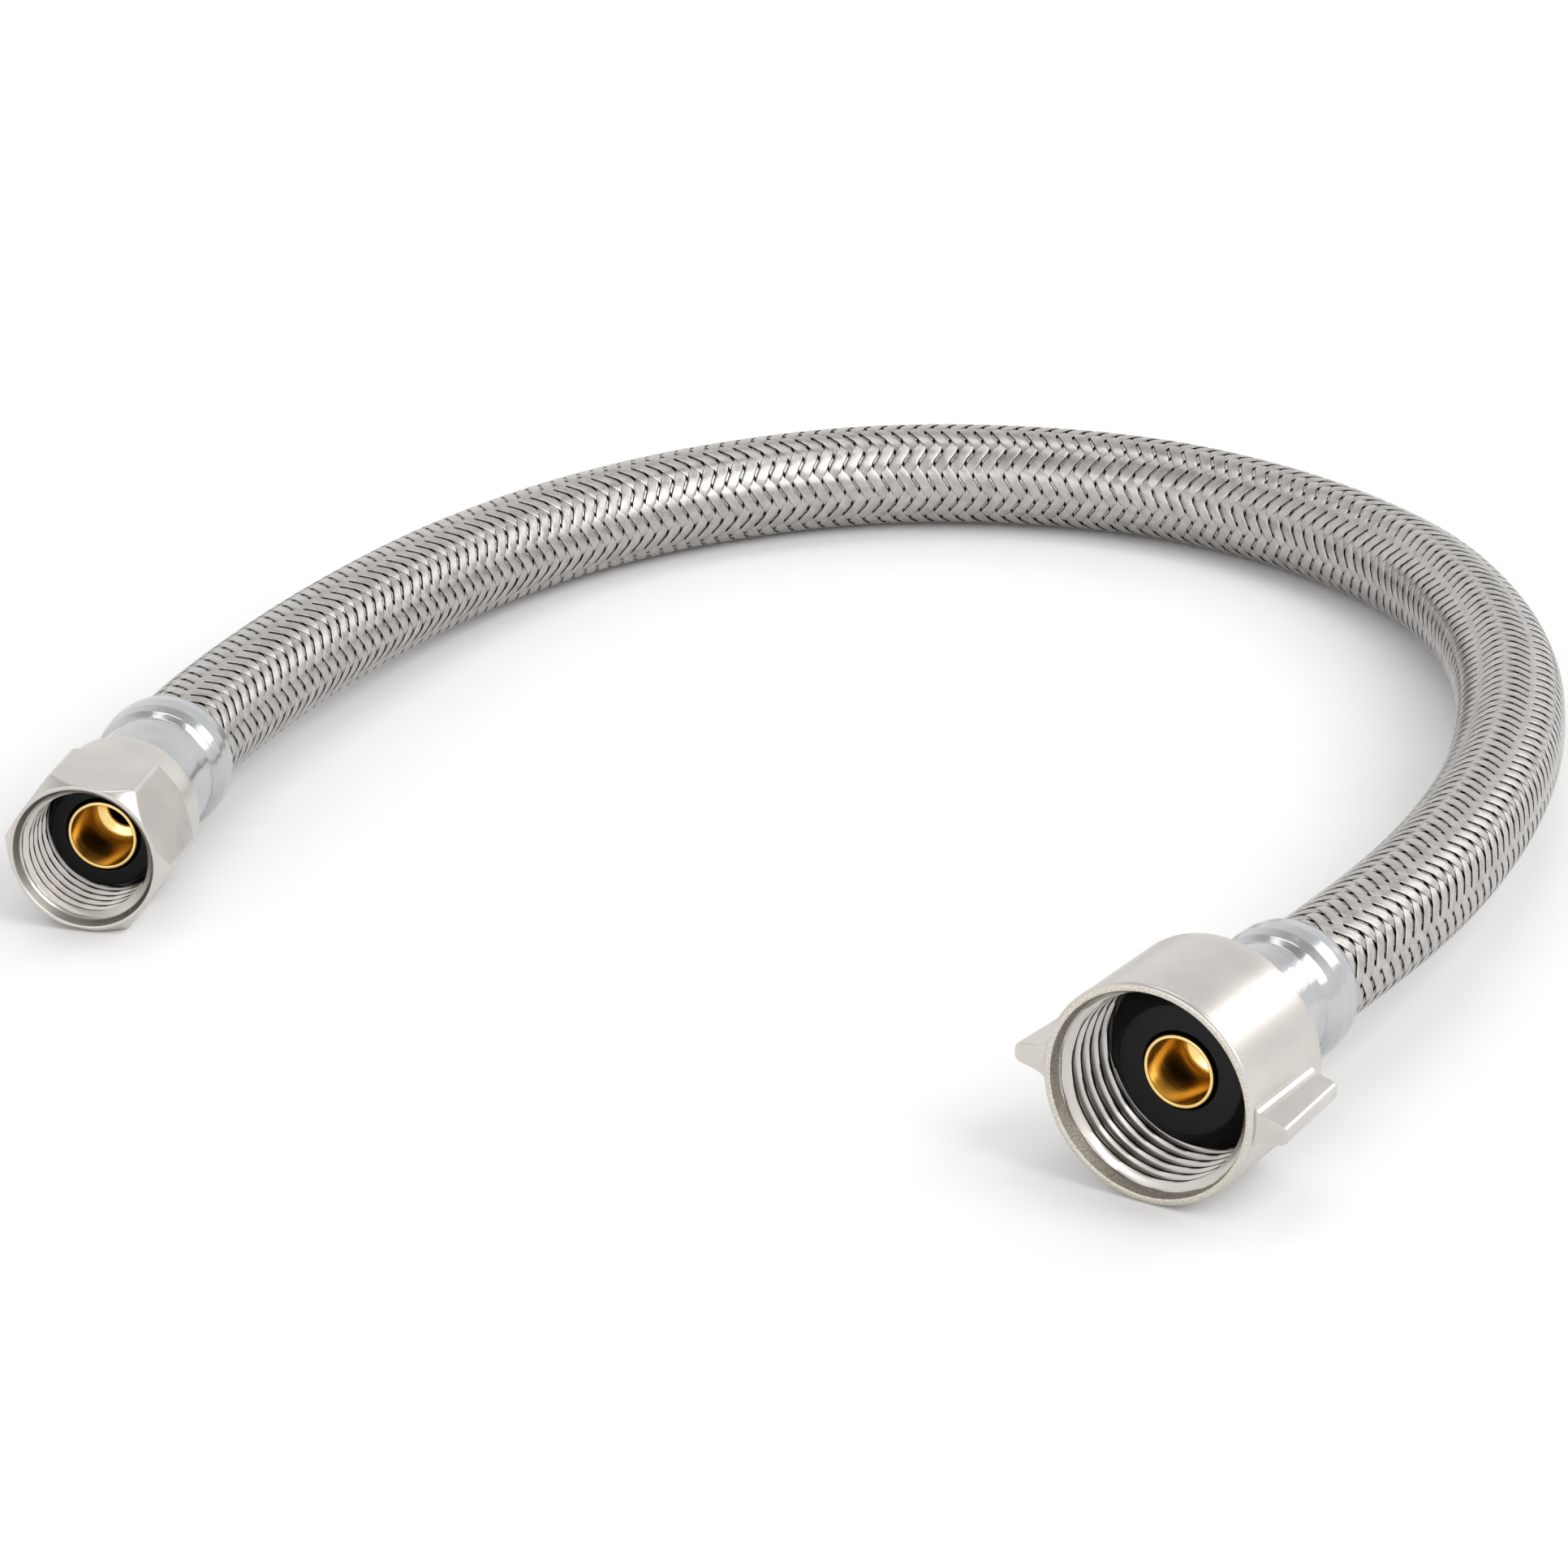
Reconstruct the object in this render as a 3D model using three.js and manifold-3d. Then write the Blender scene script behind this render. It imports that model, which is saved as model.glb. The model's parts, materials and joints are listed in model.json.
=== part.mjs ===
// Braided supply line: a flexible hose with a hexagonal coupling nut on one end and a winged
// coupling nut on the other. Millimetres, +Z up, lying on the plane z = 0.
// Each fitting is drawn along its own +Y axis, from its mouth (y = 0) towards the hose.
import * as THREE from "three";
import { mergeVertices } from "three/addons/utils/BufferGeometryUtils.js";
import Module from "manifold-3d";

const wasm = await Module();
wasm.setup();

// ---- Driving dimensions ----
const GAP = 0.3; // clearance between neighbouring pieces
const ROUND = 32; // facets round a turned piece

const HOSE_DIAMETER = 12.7;
const HOSE_SIDES = 12;
const HOSE_STEP_DIAMETERS = 2;
const BRAID_BORE = 11.8; // across the section's corners
const LINER_DIAMETER = 10.8;
const LINER_BORE = 8;

// Where the hose leaves each ferrule, it follows these points, from the hex end to the winged end.
const HOSE_ROUTE = [
  [-74.3, 33.3, 8.8],
  [-74.7, 54.1, 8.5],
  [-73.5, 75.1, 8],
  [-71, 95.1, 7.1],
  [-64.7, 115.1, 6.5],
  [-54, 131.9, 6.4],
  [-39, 145.7, 6.4],
  [-20.3, 154, 6.4],
  [-0.2, 156.3, 6.4],
  [19.7, 151.5, 6.4],
  [37.1, 140.9, 6.6],
  [50, 125.1, 7.6],
  [59.6, 107.1, 8.6],
  [66.2, 87.7, 9.6],
  [70.3, 67.7, 10.6],
  [71.8, 47.3, 11.4],
  [71.3, 31.1, 11.9],
  [69.4, 16.1, 12.1],
];
const HOSE_START = 16.6; // distance from a nut's mouth to the cut end of the hose

const WING = {
  mouth: [63.3, -23.1], // centre of the nut's front face, x and y
  yaw: THREE.MathUtils.degToRad(-8.75), // each fitting toes out from +Y
  length: 15,
  ferruleEnd: 32, // distance from the mouth to the ferrule's rear lip
  faceRadius: 11.7, // the front edge is rounded down to this flat face
  frontRadius: 12.15,
  backRadius: 12,
  wall: 2.3, // thickness of the nut's back wall
  mouthRadius: 11.25,
  majorRadius: 11.1,
  minorRadius: 10.15,
  pitch: 1.814, // 7/8-14 thread
  threadStart: 1.6,
  ridges: 5,
  tipRadius: 15.8,
  wingStart: 0.5,
  wingEnd: 12.6,
  wingTip: 2.2, // thickness of a wing at its tip and at its root
  wingRoot: 4.2,
  roll: THREE.MathUtils.degToRad(-3), // from level, turning +X towards +Z
  washerFace: { depth: 6.9, radius: 7.1 },
  washerRim: { depth: 10.1, radius: 9.8 },
};
const HEX = {
  mouth: [-67.86, -7.36],
  yaw: THREE.MathUtils.degToRad(9.75),
  length: 15.5,
  ferruleEnd: 30.8,
  centreHeight: 8.93,
  acrossFlats: 17.1,
  roll: THREE.MathUtils.degToRad(-5),
  cornerRadius: 9.75, // the corners are turned down to this
  faceRadius: 8.6,
  faceChamfer: 1.9,
  cornerEnd: 9.6, // where the corners start to slope down to the round shoulder
  shoulderStart: 11.5,
  shoulderRadius: 8.5,
  backEdge: 0.5,
  wall: 2.3,
  mouthRadius: 8.1,
  majorRadius: 7.5,
  minorRadius: 6.9,
  pitch: 1.385,
  threadStart: 1.3,
  ridges: 4,
  washerFace: { depth: 6.9, radius: 6.1 },
  washerRim: { depth: 8.6, radius: 6.8 },
};
const INSERT = {
  lip: 6.5, // distance from the nut's mouth to the insert's lip
  tailRadius: 4.05,
  cupRadius: 3.65,
  cupDepth: 7.7, // from the lip to the step down to the bore, which slopes back to stepEnd
  stepEnd: 8.3,
  boreRadius: 2.2,
  flangeRadius: 6.3,
  flangeThickness: 1.4,
  neckRadius: 5,
  stemRadius: 3.1,
  barbRadius: 3.5,
  barbs: 3,
  barbPitch: 3.3,
  barbLength: 2.64,
  firstBarb: 1.5, // distance from the end of the neck
  endInset: 3, // the stem stops this far inside the ferrule's rear lip
};
const FERRULE = {
  clearance: 0.4, // between the nut and the ferrule's front
  sheet: 0.32, // thickness of the stainless sheet
  neckRadius: 7,
  riseRadius: 7.6,
  beadRadius: 7.75,
  lipRadius: 7.2,
  beadStart: 6.4, // distances back from the rear lip
  beadRise: 5,
  beadFull: 3.6,
  beadFade: 1.6,
};

const THREAD = { flank: 0.2, root: 0.6 }; // a groove's start and deepest line, in pitches

// ---- Materials ----
const metal = (color, roughness) =>
  new THREE.MeshStandardMaterial({ color, roughness, metalness: 1 });
const MATERIALS = {
  nickel: metal(0xb9b3a8, 0.32),
  stainless: metal(0xc4c6c8, 0.25),
  braid: metal(0xaeb0b2, 0.35),
  brass: metal(0xb5883a, 0.3),
  rubber: new THREE.MeshStandardMaterial({ color: 0x141414, roughness: 0.7 }),
};

// ---- Solids ----
function solid(geometry) {
  const bare = geometry.clone();
  bare.deleteAttribute("normal");
  bare.deleteAttribute("uv");
  const merged = mergeVertices(bare, 1e-4);
  return new wasm.Manifold(
    new wasm.Mesh({
      numProp: 3,
      vertProperties: merged.attributes.position.array,
      triVerts: new Uint32Array(merged.index.array),
    }),
  );
}

function geometryOf(manifold) {
  const mesh = manifold.getMesh();
  const geometry = new THREE.BufferGeometry();
  geometry.setAttribute("position", new THREE.BufferAttribute(mesh.vertProperties, 3));
  geometry.setIndex(new THREE.BufferAttribute(mesh.triVerts, 1));
  const faceted = geometry.toNonIndexed();
  faceted.computeVertexNormals();
  return faceted;
}

// A closed outline of [radius, distance from the mouth] turned about the fitting's axis.
// It runs so that its area lies on the left, which turns the faces outwards.
function turned(outline) {
  const points = outline.map(([radius, y]) => new THREE.Vector2(radius, y));
  return new THREE.LatheGeometry([...points, points[0]], ROUND);
}

function piece(name, geometry, material) {
  const mesh = new THREE.Mesh(geometry, material);
  mesh.name = name;
  return mesh;
}

// A fitting's own frame: its mouth's centre at the origin and its axis along +Y.
function fittingGroup({ mouth, yaw }, height) {
  const group = new THREE.Group();
  group.position.set(mouth[0], mouth[1], height);
  group.rotation.z = yaw;
  group.updateMatrixWorld(true);
  return group;
}

// ---- Nuts ----
// The hollow of a nut: mouth chamfer, thread grooves as plain rings, and the hole in its back wall.
function nutHollow(nut) {
  const seat = nut.length - nut.wall;
  const outline = [
    [0, -1],
    [nut.mouthRadius, -1],
    [nut.mouthRadius, 0],
    [nut.minorRadius, nut.threadStart],
  ];
  for (let i = 0; i < nut.ridges; i++) {
    const ridge = nut.threadStart + i * nut.pitch;
    outline.push([nut.minorRadius, ridge + nut.pitch * THREAD.flank]);
    outline.push([nut.majorRadius, ridge + nut.pitch * THREAD.root]);
    outline.push([nut.minorRadius, ridge + nut.pitch]);
  }
  const threadEnd = nut.threadStart + nut.ridges * nut.pitch;
  const neckHole = INSERT.neckRadius + GAP;
  outline.push([nut.majorRadius, threadEnd + nut.pitch * (THREAD.root - THREAD.flank)]);
  outline.push([nut.majorRadius, seat], [neckHole, seat]);
  outline.push([neckHole, nut.length + 1], [0, nut.length + 1]);
  return solid(turned(outline));
}

// One wing's section, thick at the root, seen along the nut's axis and pointing along +X.
function wingSection() {
  const root = WING.wingRoot / 2;
  const tip = WING.wingTip / 2;
  const bend = { x: WING.backRadius + 1, y: tip * 1.2 }; // pulls the sides into a concave sweep
  const shape = new THREE.Shape();
  shape.moveTo(WING.minorRadius + GAP, -root);
  shape.quadraticCurveTo(bend.x, -bend.y, WING.tipRadius - tip, -tip);
  shape.absarc(WING.tipRadius - tip, 0, tip, -Math.PI / 2, Math.PI / 2, false);
  shape.quadraticCurveTo(bend.x, bend.y, WING.minorRadius + GAP, root);
  shape.closePath();
  return shape;
}

function wing(turn) {
  const geometry = new THREE.ExtrudeGeometry(wingSection(), {
    depth: WING.wingEnd - WING.wingStart,
    bevelEnabled: false,
    curveSegments: 6,
  });
  geometry.rotateX(-Math.PI / 2);
  geometry.translate(0, WING.wingStart, 0);
  geometry.rotateY(-turn);
  return solid(geometry);
}

function wingedNut() {
  const edge = 0.25;
  const frontEdge = WING.frontRadius - WING.faceRadius;
  const body = solid(
    turned([
      [0, 0],
      [WING.faceRadius, 0],
      [WING.faceRadius + frontEdge * Math.SQRT1_2, frontEdge * (1 - Math.SQRT1_2)],
      [WING.frontRadius, frontEdge],
      [WING.backRadius, WING.length - edge],
      [WING.backRadius - edge, WING.length],
      [0, WING.length],
    ]),
  );
  const wings = wing(WING.roll).add(wing(WING.roll + Math.PI));
  return geometryOf(body.add(wings).subtract(nutHollow(WING)));
}

function hexNut() {
  const prism = new THREE.CylinderGeometry(
    HEX.acrossFlats / Math.sqrt(3),
    HEX.acrossFlats / Math.sqrt(3),
    HEX.length,
    6,
  );
  prism.rotateY(Math.PI / 2 - HEX.roll);
  prism.translate(0, HEX.length / 2, 0);
  const corners = solid(
    turned([
      [0, 0],
      [HEX.faceRadius, 0],
      [HEX.cornerRadius, HEX.faceChamfer],
      [HEX.cornerRadius, HEX.cornerEnd],
      [HEX.shoulderRadius, HEX.shoulderStart],
      [HEX.shoulderRadius, HEX.length - HEX.backEdge],
      [HEX.shoulderRadius - HEX.backEdge, HEX.length],
      [0, HEX.length],
    ]),
  );
  return geometryOf(solid(prism).intersect(corners).subtract(nutHollow(HEX)));
}

// ---- Insert, washer and ferrule ----
// The nut is held between the insert's flange and the ferrule, and turns on the insert's neck.
function insert(nut) {
  const flangeBack = nut.length - nut.wall - GAP;
  const flangeFront = flangeBack - INSERT.flangeThickness;
  const neckEnd = HOSE_START - GAP;
  const lipEdge = 0.2;
  const outline = [
    [INSERT.cupRadius, INSERT.lip],
    [INSERT.tailRadius - lipEdge, INSERT.lip],
    [INSERT.tailRadius, INSERT.lip + lipEdge],
    [INSERT.tailRadius, flangeFront],
    [INSERT.flangeRadius, flangeFront],
    [INSERT.flangeRadius, flangeBack],
    [INSERT.neckRadius, flangeBack],
    [INSERT.neckRadius, neckEnd],
    [INSERT.stemRadius, neckEnd],
  ];
  for (let i = 0; i < INSERT.barbs; i++) {
    const crest = neckEnd + INSERT.firstBarb + i * INSERT.barbPitch;
    outline.push([INSERT.stemRadius, crest]);
    outline.push([INSERT.barbRadius, crest]);
    outline.push([INSERT.stemRadius, crest + INSERT.barbLength]);
  }
  const end = nut.ferruleEnd - INSERT.endInset;
  outline.push([INSERT.stemRadius, end]);
  outline.push([INSERT.boreRadius, end]);
  outline.push([INSERT.boreRadius, INSERT.lip + INSERT.stepEnd]);
  outline.push([INSERT.cupRadius, INSERT.lip + INSERT.cupDepth]);
  return turned(outline);
}

function washer(nut) {
  const inner = INSERT.tailRadius + GAP;
  const back = nut.length - nut.wall - GAP - INSERT.flangeThickness - GAP;
  return turned([
    [inner, nut.washerFace.depth],
    [nut.washerFace.radius, nut.washerFace.depth],
    [nut.washerRim.radius, nut.washerRim.depth],
    [nut.washerRim.radius, back],
    [inner, back],
  ]);
}

function ferrule(nut) {
  const front = nut.length + FERRULE.clearance;
  const end = nut.ferruleEnd;
  const { sheet, neckRadius, riseRadius, beadRadius, lipRadius } = FERRULE;
  const outer = [
    [neckRadius - sheet, front],
    [neckRadius, front + sheet],
    [neckRadius, end - FERRULE.beadStart],
    [riseRadius, end - FERRULE.beadRise],
    [beadRadius, end - FERRULE.beadFull],
    [beadRadius, end - FERRULE.beadFade],
    [lipRadius, end],
  ];
  const inner = outer.slice(2).map(([radius, y]) => [radius - sheet, y]);
  const frontHole = INSERT.neckRadius + GAP;
  return turned([
    [frontHole, front],
    ...outer,
    ...inner.reverse(),
    [neckRadius - sheet, front + sheet],
    [frontHole, front + sheet],
  ]);
}

function fitting(prefix, nut, height, nutGeometry) {
  const group = fittingGroup(nut, height);
  group.add(
    piece(prefix + "_nut", nutGeometry, MATERIALS.nickel),
    piece(prefix + "_washer", washer(nut), MATERIALS.rubber),
    piece(prefix + "_insert", insert(nut), MATERIALS.brass),
    piece(prefix + "_ferrule", ferrule(nut), MATERIALS.stainless),
  );
  return group;
}

// ---- Hose ----
function hoseCurve(hexFitting, wingedFitting) {
  const insideFerrule = (fittingFrame, nut) =>
    [HOSE_START, (HOSE_START + nut.ferruleEnd) / 2, nut.ferruleEnd].map((y) =>
      new THREE.Vector3(0, y, 0).applyMatrix4(fittingFrame.matrixWorld),
    );
  return new THREE.CatmullRomCurve3([
    ...insideFerrule(hexFitting, HEX),
    ...HOSE_ROUTE.map((point) => new THREE.Vector3(...point)),
    ...insideFerrule(wingedFitting, WING).reverse(),
  ]);
}

function regularOutline(OutlineClass, diameter) {
  const outline = new OutlineClass();
  const corners = [];
  for (let i = 0; i < HOSE_SIDES; i++) {
    const angle = (2 * Math.PI * i) / HOSE_SIDES;
    corners.push(new THREE.Vector2(Math.cos(angle), Math.sin(angle)));
  }
  outline.setFromPoints(corners.map((corner) => corner.multiplyScalar(diameter / 2)));
  outline.closePath();
  return outline;
}

function hoseTube(curve, diameter, bore) {
  const section = regularOutline(THREE.Shape, diameter);
  section.holes.push(regularOutline(THREE.Path, bore));
  return new THREE.ExtrudeGeometry(section, {
    steps: Math.round(curve.getLength() / (HOSE_STEP_DIAMETERS * HOSE_DIAMETER)),
    extrudePath: curve,
    curveSegments: 1,
  });
}

// ---- Assembly ----
const hexFitting = fitting("hex", HEX, HEX.centreHeight, hexNut());
const wingedFitting = fitting("winged", WING, WING.frontRadius, wingedNut());
const curve = hoseCurve(hexFitting, wingedFitting);

const supplyLine = new THREE.Group();
supplyLine.add(
  hexFitting,
  wingedFitting,
  piece("inner_tube", hoseTube(curve, LINER_DIAMETER, LINER_BORE), MATERIALS.rubber),
  piece("braid_sleeve", hoseTube(curve, HOSE_DIAMETER, BRAID_BORE), MATERIALS.braid),
);

export default supplyLine;
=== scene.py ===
import json
import math

import bpy
import numpy as np
from mathutils import Euler, Matrix, Vector


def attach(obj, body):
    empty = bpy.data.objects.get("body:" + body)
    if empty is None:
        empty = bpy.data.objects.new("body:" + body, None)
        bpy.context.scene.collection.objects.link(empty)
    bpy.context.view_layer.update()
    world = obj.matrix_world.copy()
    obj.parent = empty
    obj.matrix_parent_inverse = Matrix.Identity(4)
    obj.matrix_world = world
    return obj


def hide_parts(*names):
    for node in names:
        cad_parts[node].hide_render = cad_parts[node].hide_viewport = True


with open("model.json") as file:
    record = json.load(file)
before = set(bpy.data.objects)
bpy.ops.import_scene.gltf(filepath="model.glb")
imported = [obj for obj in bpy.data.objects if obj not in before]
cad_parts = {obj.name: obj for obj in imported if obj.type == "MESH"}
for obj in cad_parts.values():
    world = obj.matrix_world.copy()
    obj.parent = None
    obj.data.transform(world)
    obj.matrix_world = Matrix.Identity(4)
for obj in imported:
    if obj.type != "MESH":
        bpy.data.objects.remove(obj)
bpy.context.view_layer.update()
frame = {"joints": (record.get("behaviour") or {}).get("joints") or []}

MM = 0.001

# ---------------------------------------------------------------- camera
CAMERA_AT = (0.2654, -0.5782, 0.2964)
CAMERA_DOWN = math.radians(22.99)
CAMERA_TURN = math.radians(23.55)
LENS_MM = 149.07
SENSOR_MM = 36

camera_data = bpy.data.cameras.new("camera")
camera_data.lens = LENS_MM
camera_data.sensor_width = SENSOR_MM
camera_data.clip_start = 0.01
camera = bpy.data.objects.new("camera", camera_data)
camera.location = CAMERA_AT
camera.rotation_euler = Euler((math.pi / 2 - CAMERA_DOWN, 0, CAMERA_TURN))
bpy.context.scene.collection.objects.link(camera)
bpy.context.scene.camera = camera


# ---------------------------------------------------------------- fittings' frames
class Fitting:
    """One end's own frame: the centre of the nut's mouth, and the axis towards the hose."""

    def __init__(self, joint_name, ferrule_end):
        joint = next(j for j in frame["joints"] if j["name"] == joint_name)
        self.mouth = np.array(joint["pos_m"]) / MM
        self.axis = np.array(joint["axis"]) / np.linalg.norm(joint["axis"])
        self.up = np.array([0.0, 0.0, 1.0])
        self.side = np.cross(self.axis, self.up)
        self.ferrule_end = ferrule_end

    def matrix(self):
        """Takes a piece drawn with +X to the side, +Y along the axis and +Z up to its place."""
        columns = [*zip(self.side, self.axis, self.up, self.mouth * MM)]
        return Matrix([*map(list, columns), [0, 0, 0, 1]])

    def on_axis(self, along):
        return self.mouth + self.axis * along


HEX = Fitting("hex_nut_spin", ferrule_end=30.8)
WINGED = Fitting("winged_nut_spin", ferrule_end=32)

# ---------------------------------------------------------------- hose: route and frames
HOSE_TUCK = 4  # the sleeve is drawn from this far inside each ferrule's rear lip
HOSE_ROUTE = [
    (-74.3, 33.3, 8.8),
    (-74.7, 54.1, 8.5),
    (-73.5, 75.1, 8),
    (-71, 95.1, 7.1),
    (-64.7, 115.1, 6.5),
    (-54, 131.9, 6.4),
    (-39, 145.7, 6.4),
    (-20.3, 154, 6.4),
    (-0.2, 156.3, 6.4),
    (19.7, 151.5, 6.4),
    (37.1, 140.9, 6.6),
    (50, 125.1, 7.6),
    (59.6, 107.1, 8.6),
    (66.2, 87.7, 9.6),
    (70.3, 67.7, 10.6),
    (71.8, 47.3, 11.4),
    (71.3, 31.1, 11.9),
    (69.4, 16.1, 12.1),
]


STEPS_PER_SPAN = 40


def smooth_line(points, spacing):
    """A centripetal Catmull-Rom curve through the points, resampled at an even spacing."""
    points = [np.array(p, float) for p in points]
    points = [2 * points[0] - points[1]] + points + [2 * points[-1] - points[-2]]
    dense = []
    for a, b, c, d in zip(points, points[1:], points[2:], points[3:]):
        knots = np.cumsum([0] + [np.linalg.norm(q - p) ** 0.5 for p, q in ((a, b), (b, c), (c, d))])
        t = np.linspace(knots[1], knots[2], STEPS_PER_SPAN, endpoint=False)[:, None]

        def mix(p, q, i, j):
            span = knots[j] - knots[i]
            return p * (knots[j] - t) / span + q * (t - knots[i]) / span

        ab, bc, cd = mix(a, b, 0, 1), mix(b, c, 1, 2), mix(c, d, 2, 3)
        dense.append(mix(mix(ab, bc, 0, 2), mix(bc, cd, 1, 3), 1, 2))
    dense = np.vstack(dense + [points[-2]])
    length = np.concatenate([[0], np.cumsum(np.linalg.norm(np.diff(dense, axis=0), axis=1))])
    even = np.linspace(0, length[-1], int(length[-1] / spacing) + 1)
    return np.stack([np.interp(even, length, dense[:, k]) for k in range(3)], 1), even


class Hose:
    """The hose's centreline with a frame that turns as little as it can along it."""

    SPACING = 0.5

    def __init__(self):
        insets = (HOSE_TUCK, HOSE_TUCK / 2, 0)
        hex_end = [HEX.on_axis(HEX.ferrule_end - inset) for inset in insets]
        winged_end = [WINGED.on_axis(WINGED.ferrule_end - inset) for inset in insets]
        points = hex_end + HOSE_ROUTE + winged_end[::-1]
        self.line, self.along = smooth_line(points, self.SPACING)
        self.length = self.along[-1]
        self.tangent = np.gradient(self.line, axis=0)
        self.tangent /= np.linalg.norm(self.tangent, axis=1)[:, None]
        normal = np.cross(self.tangent[0], [0, 0, 1.0])
        normals = []
        for tangent in self.tangent:
            normal = normal - tangent * (normal @ tangent)
            normal = normal / np.linalg.norm(normal)
            normals.append(normal)
        self.normal = np.array(normals)
        self.binormal = np.cross(self.tangent, self.normal)

    def at(self, along, values):
        return np.stack([np.interp(along, self.along, values[:, k]) for k in range(3)], -1)

    def place(self, along, angle, radius):
        """Points on the hose, and the direction out of it there."""
        angle = np.asarray(angle)[..., None]
        outward = np.cos(angle) * self.at(along, self.normal)
        outward = outward + np.sin(angle) * self.at(along, self.binormal)
        return self.at(along, self.line) + outward * np.asarray(radius)[..., None], outward


HOSE = Hose()


# ---------------------------------------------------------------- mesh helpers
def new_mesh(name, vertices, faces, sharp_degrees=180, uv=None):
    """A smooth-shaded piece. Edges that turn by more than sharp_degrees stay crisp."""
    mesh = bpy.data.meshes.new(name)
    mesh.from_pydata((np.asarray(vertices) * MM).tolist(), [], [list(map(int, f)) for f in faces])
    mesh.shade_smooth()
    if sharp_degrees < 180:
        mesh.set_sharp_from_angle(angle=math.radians(sharp_degrees))
    if uv is not None:
        corners = np.empty(len(mesh.loops), int)
        mesh.loops.foreach_get("vertex_index", corners)
        mesh.uv_layers.new(name="UVMap").data.foreach_set("uv", uv[corners].astype(np.float32).ravel())
    mesh.update()
    piece = bpy.data.objects.new(name, mesh)
    bpy.context.scene.collection.objects.link(piece)
    return piece


def grid_faces(rows, columns, offset=0):
    """Quads of a grid whose rows and columns both close on themselves."""
    row, column = np.meshgrid(np.arange(rows), np.arange(columns), indexing="ij")
    next_row, next_column = (row + 1) % rows, (column + 1) % columns
    corners = [
        row * columns + column,
        next_row * columns + column,
        next_row * columns + next_column,
        row * columns + next_column,
    ]
    return np.stack(corners, -1).reshape(-1, 4) + offset


def facing_out(vertices, faces):
    """The faces, turned round if the closed surface they make is inside out."""
    v = np.asarray(vertices)[np.asarray(faces)]
    volume = np.einsum("ij,ij->i", v[:, 0], np.cross(v[:, 1], v[:, 2])).sum()
    volume += np.einsum("ij,ij->i", v[:, 0], np.cross(v[:, 2], v[:, 3])).sum()
    return faces if volume > 0 else np.asarray(faces)[:, ::-1]


def ring_piece(name, fitting, rows, angles=None, sharp_degrees=180):
    """A closed ring from a loop of rows (radius, distance from the mouth), either by angle."""
    if angles is None:
        angles = np.linspace(0, 2 * math.pi, 160, endpoint=False)
    radius = np.stack([np.broadcast_to(r, len(angles)) for r, _ in rows])
    along = np.stack([np.broadcast_to(y, len(angles)) for _, y in rows])
    vertices = np.stack([radius * np.cos(angles), along, radius * np.sin(angles)], -1).reshape(-1, 3)
    piece = new_mesh(name, vertices, facing_out(vertices, grid_faces(*radius.shape)), sharp_degrees)
    piece.matrix_world = fitting.matrix()
    return piece


ARC_STEPS = 3
ARC_HOLD = 0.06  # a point this far beside each arc keeps the flat beyond it flat


def rounded(outline):
    """A closed outline of corners (radius, distance, rounding), with each corner rounded."""
    corners = np.array([c[:2] for c in outline], float)
    radii = [c[2] for c in outline]
    result = []
    count = len(corners)
    for i, corner in enumerate(corners):
        before, after = corners[i - 1] - corner, corners[(i + 1) % count] - corner
        room_before, room_after = np.linalg.norm(before), np.linalg.norm(after)
        before, after = before / room_before, after / room_after
        half = math.acos(np.clip(before @ after, -1, 1)) / 2
        if half > math.radians(88) or radii[i] == 0:
            result.append(corner)
            continue
        reach = min(radii[i] / math.tan(half), 0.42 * room_before, 0.42 * room_after)
        centre = corner + (before + after) / np.linalg.norm(before + after) * reach / math.cos(half)
        start, end = corner + before * reach, corner + after * reach
        side_hold = min(ARC_HOLD, 0.05 * room_before, 0.05 * room_after)
        result.append(start + before * side_hold)
        for k in range(ARC_STEPS + 1):
            share = k / ARC_STEPS
            spoke = (start - centre) * (1 - share) + (end - centre) * share
            result.append(centre + spoke / np.linalg.norm(spoke) * np.linalg.norm(start - centre))
        result.append(end + after * side_hold)
    return np.array(result)


def turned_piece(name, fitting, outline):
    return ring_piece(name, fitting, [tuple(p) for p in rounded(outline)])


def soft_min(a, b, blend):
    """The smaller of two lengths, with the crease between them rounded over the blend length."""
    mixed = np.clip(0.5 + 0.5 * (b - a) / blend, 0, 1)
    return b + (a - b) * mixed - blend * mixed * (1 - mixed)


# ---------------------------------------------------------------- materials
RAMP_SOCKETS = ("From Min", "From Max", "To Min", "To Max")


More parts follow.
